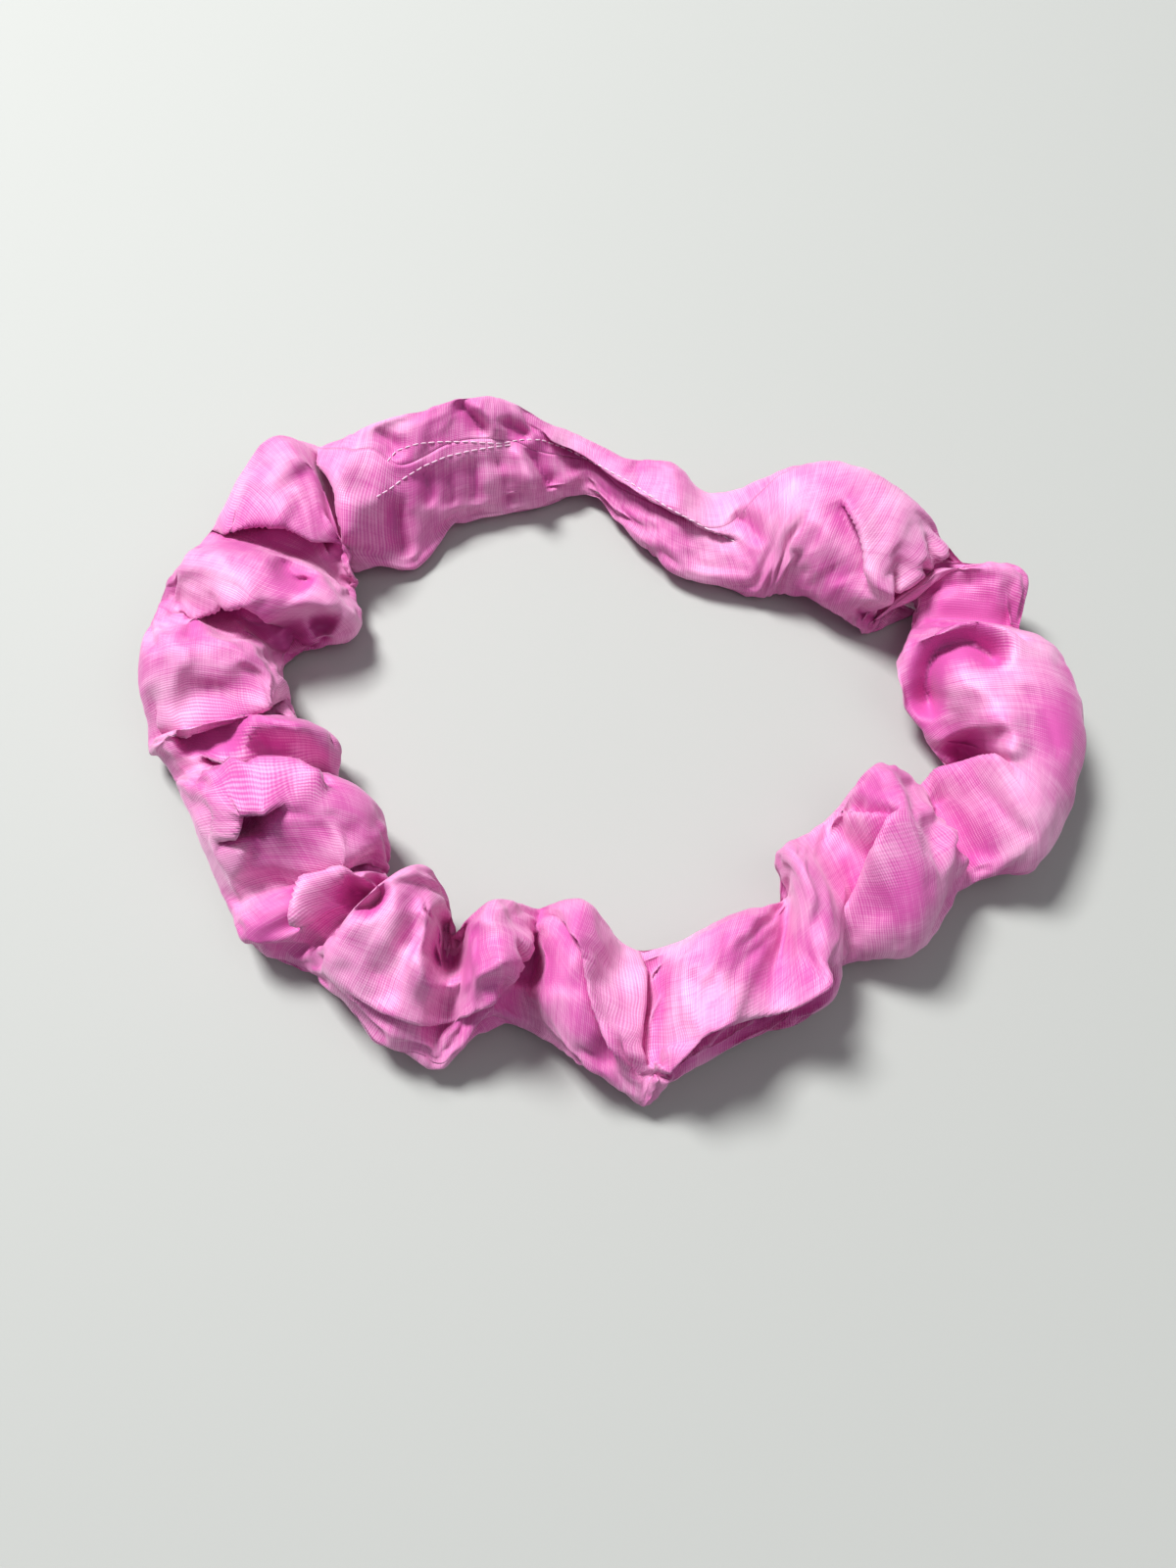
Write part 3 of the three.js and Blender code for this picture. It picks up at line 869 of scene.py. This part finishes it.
ELASTIC_LEAST = 0.4  # its least width, where the casing is drawn in, as a share of the whole
LAP_ROWS = 3  # rows that the elastic's end laps on either side of its join
ZIGZAG_SWING = 0.38  # how far the zigzag swings to each side, in the elastic's widths


def turned_in(grid):
    """Opens a closed grid at its seam and adds the two edges of the strip, turned in there."""
    seam = grid[:, 0]
    inward = grid.mean(axis=1) - seam
    room = np.linalg.norm(inward, axis=1, keepdims=True)
    inward = inward / room
    on_top = np.clip(grid_normals(grid)[:, :1, 2] * 2, 0, 1)
    seam = seam + inward * (SEAM_SINK * (1 - on_top))
    edges = [seam + inward * np.minimum(depth, room * share) for depth, share in TURNED_IN]
    aside = unit(grid[:, 1] - grid[:, -1]) * EDGE_SPREAD
    left = [edge + aside for edge in edges] + [seam + aside * 0.5]
    right = [edge - aside for edge in edges] + [seam - aside * 0.5]
    opened = np.concatenate([np.stack(left, axis=1), grid[:, 1:], np.stack(right[::-1], axis=1)], axis=1)
    opened[..., 2] = np.maximum(opened[..., 2], LOWEST)
    return opened


def ribbon_part(middle, flat, up, narrow, closed):
    """A ribbed ribbon along a line of middles, as wide along flat and as thick along up as elastic.
    Narrow gives its width at each middle as a share of the whole."""
    corners = []
    steps = 4 * ELASTIC_RIBS
    for step in range(steps + 1):
        across = step / steps * 2 - 1
        rib = 0.5 + 0.5 * math.cos(step * TURN / 4)
        corners.append((across * ELASTIC_WIDTH / 2, ELASTIC_THICKNESS / 2 * (0.8 + 0.2 * rib)))
    corners += [(across, -thick) for across, thick in corners[::-1]]
    section = np.array(corners)
    points = (
        middle[:, None]
        + (flat * narrow[:, None])[:, None] * section[None, :, :1]
        + up[:, None] * section[None, :, 1:]
    ).reshape(-1, 3)
    rows, count = len(middle), len(section)
    faces = []
    for row in range(rows if closed else rows - 1):
        after = (row + 1) % rows
        for spot in range(count):
            beside = (spot + 1) % count
            near, far = row * count, after * count
            faces.append((near + spot, near + beside, far + beside, far + spot))
    if not closed:
        faces.append(tuple(range(count))[::-1])
        faces.append(tuple(range((rows - 1) * count, rows * count)))
    return points, faces


def keep_painted_shade_depth(mesh, sunk):
    """Keeps on the mesh how deep each point lies in a fold, from 0 on a crest to 1 in a hollow, for the
    cloth's painted shade, which darkens its colour in the hollows.
    """
    edge = np.repeat(sunk[:, :1], len(TURNED_IN) + 1, axis=1)
    depth = np.concatenate([edge, sunk[:, 1:], edge], axis=1) / PAINTED_SHADE_DEPTH
    layer = mesh.attributes.new("hollow", "FLOAT", "POINT")
    layer.data.foreach_set("value", np.clip(0.5 + depth / 2, 0, 1).ravel())


class BAND_OT_casing(bpy.types.Operator):
    """Makes the gathered casing and lets its cloth settle"""

    bl_idname = "band.casing"
    bl_label = "Casing"

    def execute(self, context):
        sizes = context.scene.band_sizes
        grid = casing_grid(sizes.columns, sizes.corners)
        casing = place_piece("casing", sheet_mesh("casing", grid, True), cloth_finish())
        held, smooth = settle_weights(grid)
        settle(casing, held, smooth, sizes.growth, SIM_FRAMES, SIM_REACH)
        settled = np.empty(grid.size)
        casing.data.vertices.foreach_get("co", settled)
        fine = finer_grid(settled.reshape(grid.shape) / MM, FINE_COLUMNS, FINE_CORNERS)
        pressed = press_folds(fine, FOLD_STRENGTH)
        sunk = (unit(SIGHT_POINT - fine) * (fine - pressed)).sum(-1)
        fine = crinkled(soften(pressed, 1, 0.4))
        rough = casing.data
        casing.data = sheet_mesh("casing", turned_in(fine), False)
        # painted shade: how deep the folds sink the cloth is kept on the mesh to darken its colour there
        keep_painted_shade_depth(casing.data, sunk)
        casing.data.materials.append(rough.materials[0])
        bpy.data.meshes.remove(rough)
        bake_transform(casing)
        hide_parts(*CASING_NODES, "seam_allowance_back", "seam_allowance_front")
        return {"FINISHED"}


def loose_mesh(name, parts):
    """One mesh from separate parts, each with its points in millimetres and its faces."""
    points, faces = [], []
    for part_points, part_faces in parts:
        first = len(points)
        points.extend((np.asarray(part_points) * MM).tolist())
        faces.extend([tuple(first + corner for corner in face) for face in part_faces])
    mesh = bpy.data.meshes.new(name)
    mesh.from_pydata(points, [], faces)
    mesh.polygons.foreach_set("use_smooth", [True] * len(faces))
    mesh.update()
    return mesh


# A stitch's rings: how far along it, how far above its path in thread widths, and their share of its width.
STITCH_RINGS = (
    (0.0, -0.5, 0.35),
    (0.1, -0.1, 0.85),
    (0.3, 0.3, 1.0),
    (0.7, 0.3, 1.0),
    (0.9, -0.1, 0.85),
    (1.0, -0.5, 0.35),
)
STITCH_SIDES = 6


def stitch_part(start, end, outward, thick):
    """One stitch: a short thread that dips into the cloth at both ends."""
    way = unit(end - start)
    side = unit(np.cross(way, outward))
    up = np.cross(side, way)
    points = []
    for share, lift, swell in STITCH_RINGS:
        middle = start + (end - start) * share + up * thick * lift
        for corner in range(STITCH_SIDES):
            angle = TURN * corner / STITCH_SIDES
            points.append(middle + thick / 2 * swell * (math.cos(angle) * side + math.sin(angle) * up))
    faces = [tuple(range(STITCH_SIDES))[::-1]]
    for ring in range(len(STITCH_RINGS) - 1):
        for corner in range(STITCH_SIDES):
            here = ring * STITCH_SIDES
            after = here + STITCH_SIDES
            beside = (corner + 1) % STITCH_SIDES
            faces.append((here + corner, here + beside, after + beside, after + corner))
    last = (len(STITCH_RINGS) - 1) * STITCH_SIDES
    faces.append(tuple(range(last, last + STITCH_SIDES)))
    return points, faces


def stitch_row(path, outwards, pitch, gap, thick):
    """Stitches at an even pitch along a path in millimetres, each with its outward direction."""
    path = np.asarray(path)
    steps = np.linalg.norm(np.diff(path, axis=0), axis=1)
    reach = np.concatenate([[0], np.cumsum(steps)])
    count = int(reach[-1] / pitch)
    outwards = np.asarray(outwards)

    def at(place, rows):
        return np.array([np.interp(place, reach, line) for line in rows.T])

    parts = []
    for start in np.arange(count) * pitch:
        outward = unit(at(start + pitch / 2, outwards))
        parts.append(stitch_part(at(start, path), at(start + pitch - gap, path), outward, thick))
    return parts


# The two rows of the closing topstitch, drawn on the table like the folds. They merge at the waist.
TOPSTITCH_ROWS = [
    [
        (-58.2, 84.5), (-55.9, 88.2), (-50.8, 90.6), (-44.3, 91.3), (-36.4, 91.3), (-28.6, 90.6),
        (-22.8, 92.0), (-17.6, 92.0), (-11.5, 89.2), (-2.4, 83.5), (6.6, 77.0), (15.3, 69.5),
        (25.2, 62.6), (33.0, 57.9),
    ],
    [
        (-60.1, 72.7), (-56.8, 75.3), (-53.4, 78.9), (-48.5, 82.9), (-42.7, 86.2), (-36.3, 88.2),
        (-29.8, 89.6), (-24.6, 90.3),
    ],
]
TOPSTITCH_STEP = 0.6  # millimetres between the places where a row is laid on the cloth
TOPSTITCH_PITCH = 2.1
TOPSTITCH_GAP = 0.3
THREAD_WIDTH = 0.34


def casing_tree():
    """The casing's surface, ready for rays."""
    mesh = bpy.data.objects["casing"].data
    points = [vertex.co for vertex in mesh.vertices]
    return BVHTree.FromPolygons(points, [tuple(face.vertices) for face in mesh.polygons])


class BAND_OT_topstitch(bpy.types.Operator):
    """Sews the closing topstitch on the casing"""

    bl_idname = "band.topstitch"
    bl_label = "Closing topstitch"

    def execute(self, context):
        cloth = casing_tree()
        eye = Vector(SIGHT_POINT * MM)
        parts = []
        for row in TOPSTITCH_ROWS:
            drawn = np.array(row, float)
            reach = np.concatenate([[0], np.cumsum(np.linalg.norm(np.diff(drawn, axis=0), axis=1))])
            hits, outwards = [], []
            for spot in np.arange(0, reach[-1], TOPSTITCH_STEP):
                across, back = (np.interp(spot, reach, line) for line in drawn.T)
                aim = Vector((across, back, 0)) * MM
                way = (aim - eye).normalized()
                place, normal, _, _ = cloth.ray_cast(eye, way)
                if place is None:
                    raise RuntimeError("a topstitch row leaves the casing")
                hits.append(np.array(place) / MM)
                outwards.append(np.array(normal if normal.dot(way) < 0 else -normal))
            parts.extend(stitch_row(hits, outwards, TOPSTITCH_PITCH, TOPSTITCH_GAP, THREAD_WIDTH))
        name = "closing_topstitch_thread"
        piece = place_piece(name, loose_mesh(name, parts), thread_finish())
        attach(piece, "back")
        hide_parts("closing_topstitch")
        return {"FINISHED"}


class BAND_OT_seams(bpy.types.Operator):
    """Sews the lengthwise seam and the cross seam inside the casing"""

    bl_idname = "band.seams"
    bl_label = "Seams"

    def execute(self, context):
        mesh = bpy.data.objects["casing"].data
        points = np.empty(len(mesh.vertices) * 3)
        mesh.vertices.foreach_get("co", points)
        grid = points.reshape(FINE_COLUMNS, -1, 3) / MM
        width = grid.shape[1]
        edge = len(TURNED_IN)
        seam = (grid[:, edge - 2] + grid[:, width - edge + 1]) / 2
        outward = unit((grid[:, edge] + grid[:, width - edge - 1]) / 2 - seam)
        path = np.concatenate([seam, seam[:1]])
        parts = stitch_row(path, np.concatenate([outward, outward[:1]]), SEAM_PITCH, SEAM_GAP, THREAD_WIDTH)
        finish = thread_finish()
        lengthwise = place_piece("seam_stitches", loose_mesh("seam_stitches", parts), finish)
        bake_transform(lengthwise)
        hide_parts("seam_thread_back", "seam_thread_front")
        ring = grid[0, edge : width - edge]
        centre = ring.mean(0)
        ring = centre + (ring - centre) * CROSS_SEAM_SIZE
        parts = stitch_row(ring, unit(ring - centre), SEAM_PITCH, SEAM_GAP, THREAD_WIDTH)
        cross = place_piece("cross_seam_stitches", loose_mesh("cross_seam_stitches", parts), finish)
        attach(cross, "back")
        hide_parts("cross_seam")
        return {"FINISHED"}


class BAND_OT_elastic(bpy.types.Operator):
    """Makes the elastic loop inside the casing, its lap and its zigzag stitch"""

    bl_idname = "band.elastic"
    bl_label = "Elastic"

    def room(self, cloth, middle, side):
        """The share of its width that the elastic keeps at each place to stay inside the casing."""
        narrow = np.full(len(middle), ELASTIC_LEAST)
        for row, spot in enumerate(middle):
            for share in np.arange(ELASTIC_LEAST, 1.01, 0.1):
                inside = True
                for hand in (-1, 1):
                    edge = Vector(spot + side[row] * hand * share * ELASTIC_WIDTH / 2) * MM
                    above = cloth.ray_cast(edge + FROM_ABOVE, DOWN)[0]
                    inside = inside and above is not None and above.z > edge.z + ELASTIC_COVER * MM
                if not inside:
                    break
                narrow[row] = share
        for _ in range(2):
            narrow = np.minimum(np.minimum(np.roll(narrow, 1), np.roll(narrow, -1)), narrow)
        return (np.roll(narrow, 1) + narrow + np.roll(narrow, -1)) / 3

    def execute(self, context):
        centre, half, _, _, _, _ = casing_sections(ELASTIC_COLUMNS)
        side = unit(half)
        cloth = casing_tree()
        middle = centre.copy()
        ceiling = np.empty(ELASTIC_COLUMNS)
        for row in range(ELASTIC_COLUMNS):
            tops, bottoms = [], []
            for share in ELASTIC_PROBES:
                aside = side[row] * share * ELASTIC_WIDTH
                spot = Vector(centre[row] + aside) * MM
                spot.z = 0
                above = cloth.ray_cast(spot + FROM_ABOVE, DOWN)[0]
                below = cloth.ray_cast(spot, UP)[0]
                if above is not None:
                    tops.append(above.z / MM - aside[2])
                    bottoms.append(below.z / MM - aside[2])
            middle[row, 2] = max(bottoms) + ELASTIC_RISE * max(min(tops) - max(bottoms), 0)
            ceiling[row] = max(min(tops) - ELASTIC_COVER, ELASTIC_THICKNESS)
        for _ in range(ELASTIC_SMOOTHING):
            middle = (np.roll(middle, 1, axis=0) + 2 * middle + np.roll(middle, -1, axis=0)) / 4
            side = unit(np.roll(side, 1, axis=0) + 2 * side + np.roll(side, -1, axis=0))
        middle[:, 2] = np.minimum(middle[:, 2], ceiling)
        narrow = self.room(cloth, middle, side)
        along = unit(np.roll(middle, -1, axis=0) - np.roll(middle, 1, axis=0))
        flat = unit(side - (side * along).sum(1, keepdims=True) * along)
        up = np.cross(along, flat)
        finish = elastic_finish()
        loop_part = ribbon_part(middle, flat, up, narrow, True)
        loop = place_piece("elastic_loop", loose_mesh("elastic_loop", [loop_part]), finish)
        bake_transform(loop)
        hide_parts("elastic_back", "elastic_front")
        lap_rows = [row % ELASTIC_COLUMNS for row in range(-LAP_ROWS, LAP_ROWS + 1)]
        lift = np.sign(up[lap_rows, 2:] + 1e-9) * up[lap_rows] * (ELASTIC_THICKNESS * 1.05)
        lap_middle = middle[lap_rows] + lift
        lap_part = ribbon_part(lap_middle, flat[lap_rows], up[lap_rows], narrow[lap_rows], False)
        lap = place_piece("elastic_lap_end", loose_mesh("elastic_lap_end", [lap_part]), finish)
        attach(lap, "back")
        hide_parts("elastic_lap")
        outward = unit(lift)
        zigzag = []
        for row, lap_row in enumerate(lap_rows):
            swing = ZIGZAG_SWING * ELASTIC_WIDTH * (1 if row % 2 else -1)
            raised = lap_middle[row] + outward[row] * (ELASTIC_THICKNESS * 0.6)
            zigzag.append(raised + flat[lap_row] * swing)
        ends = zip(zigzag, zigzag[1:], outward)
        parts = [stitch_part(start, end, normal, THREAD_WIDTH) for start, end, normal in ends]
        stitches = place_piece("lap_zigzag", loose_mesh("lap_zigzag", parts), thread_finish())
        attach(stitches, "back")
        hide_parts("elastic_zigzag")
        return {"FINISHED"}


SKY_COLOUR = (0.9, 0.93, 1.0)
SKY_STRENGTH = 0.24
# The lamps: a name, a place and a size in metres, and a power in watts. Both point at the band.
LAMPS = (("key", (-0.72, 0.8, 1.62), 0.6, 60.0), ("fill", (0.9, -0.5, 1.4), 1.4, 5.0))
CAMERA_LENS = 27.05
CAMERA_TILT = 64  # degrees that the camera looks down


class BAND_OT_stage(bpy.types.Operator):
    """Makes the floor, the lights and the camera"""

    bl_idname = "band.stage"
    bl_label = "Stage"

    def execute(self, context):
        scene = context.scene
        half = 1.5
        mesh = bpy.data.meshes.new("floor")
        mesh.from_pydata(
            [(-half, -half, 0), (half, -half, 0), (half, half, 0), (-half, half, 0)], [], [(0, 1, 2, 3)]
        )
        place_piece("floor", mesh, floor_finish())
        scene.view_settings.view_transform = "Standard"
        world = bpy.data.worlds.new("studio")
        world.use_nodes = True
        background = world.node_tree.nodes["Background"]
        background.inputs["Color"].default_value = solid(SKY_COLOUR)
        background.inputs["Strength"].default_value = SKY_STRENGTH
        scene.world = world
        for name, place, size, power in LAMPS:
            light = bpy.data.lights.new(name, "AREA")
            light.size = size
            light.energy = power
            lamp = bpy.data.objects.new(name, light)
            lamp.location = place
            lamp.rotation_euler = (-Vector(place)).to_track_quat("-Z", "Y").to_euler()
            scene.collection.objects.link(lamp)
        data = bpy.data.cameras.new("camera")
        data.sensor_width = 36
        data.lens = CAMERA_LENS
        data.clip_start = 0.01
        camera = bpy.data.objects.new("camera", data)
        camera.location = Vector(SIGHT_POINT * MM)
        camera.rotation_euler = Euler((math.radians(90 - CAMERA_TILT), 0, 0))
        scene.collection.objects.link(camera)
        scene.camera = camera
        return {"FINISHED"}


class BAND_PT_pieces(bpy.types.Panel):
    """Lists the band's pieces and sizes"""

    bl_label = "Hair band"
    bl_idname = "BAND_PT_pieces"
    bl_space_type = "VIEW_3D"
    bl_region_type = "UI"
    bl_category = "Hair band"

    def draw(self, context):
        for group in (context.scene.band_sizes, context.scene.band_colours):
            for name in group.__annotations__:
                self.layout.prop(group, name)
        for maker in MAKERS:
            self.layout.operator(maker.bl_idname)


MAKERS = (BAND_OT_stage, BAND_OT_casing, BAND_OT_topstitch, BAND_OT_seams, BAND_OT_elastic)
CLASSES = (BandSizes, BandColours, *MAKERS, BAND_PT_pieces)


def register():
    for each in CLASSES:
        bpy.utils.register_class(each)
    bpy.types.Scene.band_sizes = PointerProperty(type=BandSizes)
    bpy.types.Scene.band_colours = PointerProperty(type=BandColours)


def unregister():
    del bpy.types.Scene.band_colours
    del bpy.types.Scene.band_sizes
    for each in reversed(CLASSES):
        bpy.utils.unregister_class(each)


def main():
    register()
    for maker in MAKERS:
        group, name = maker.bl_idname.split(".")
        getattr(getattr(bpy.ops, group), name)()


if __name__ == "__main__":
    main()
